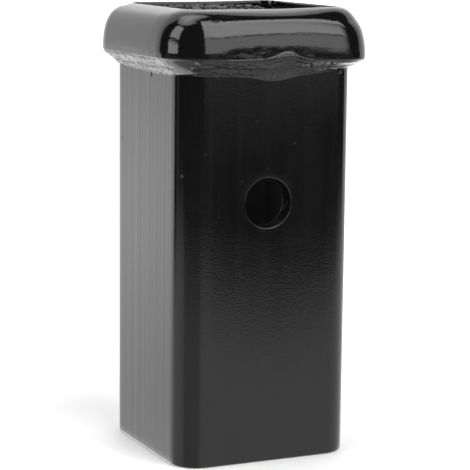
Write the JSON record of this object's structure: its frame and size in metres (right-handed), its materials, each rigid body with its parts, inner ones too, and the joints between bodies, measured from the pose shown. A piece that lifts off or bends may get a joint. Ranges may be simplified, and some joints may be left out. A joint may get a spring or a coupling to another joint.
{
  "type": "weld-on receiver tube",
  "caption": "Square steel hitch receiver tube with a rolled reinforcing collar welded round its mouth and a cross hole for a hitch pin.",
  "frame": {"origin": "middle of the tube's plain rear end, which is the end that it stands on", "axes": "+Z along the tube towards the mouth, Y along the cross pin hole, X across the two faces with no hole"},
  "size_m": [0.075, 0.075, 0.1524],
  "materials": {
    "tube_coat": "gloss black powder coat over drawn steel tube, faint vertical draw lines and a few nibs",
    "collar_coat": "gloss black powder coat, smooth over the rolled edge",
    "weld_coat": "gloss black powder coat over a ropy weld bead",
    "seam_coat": "thin, rougher black powder coat over a lumpy inside weld"
  },
  "bodies": {
    "root": {"receiver_tube": "tube_coat", "reinforcing_collar": "collar_coat", "collar_fillet_weld": "weld_coat", "mouth_seam_weld": "seam_coat"}
  },
  "joints": []
}
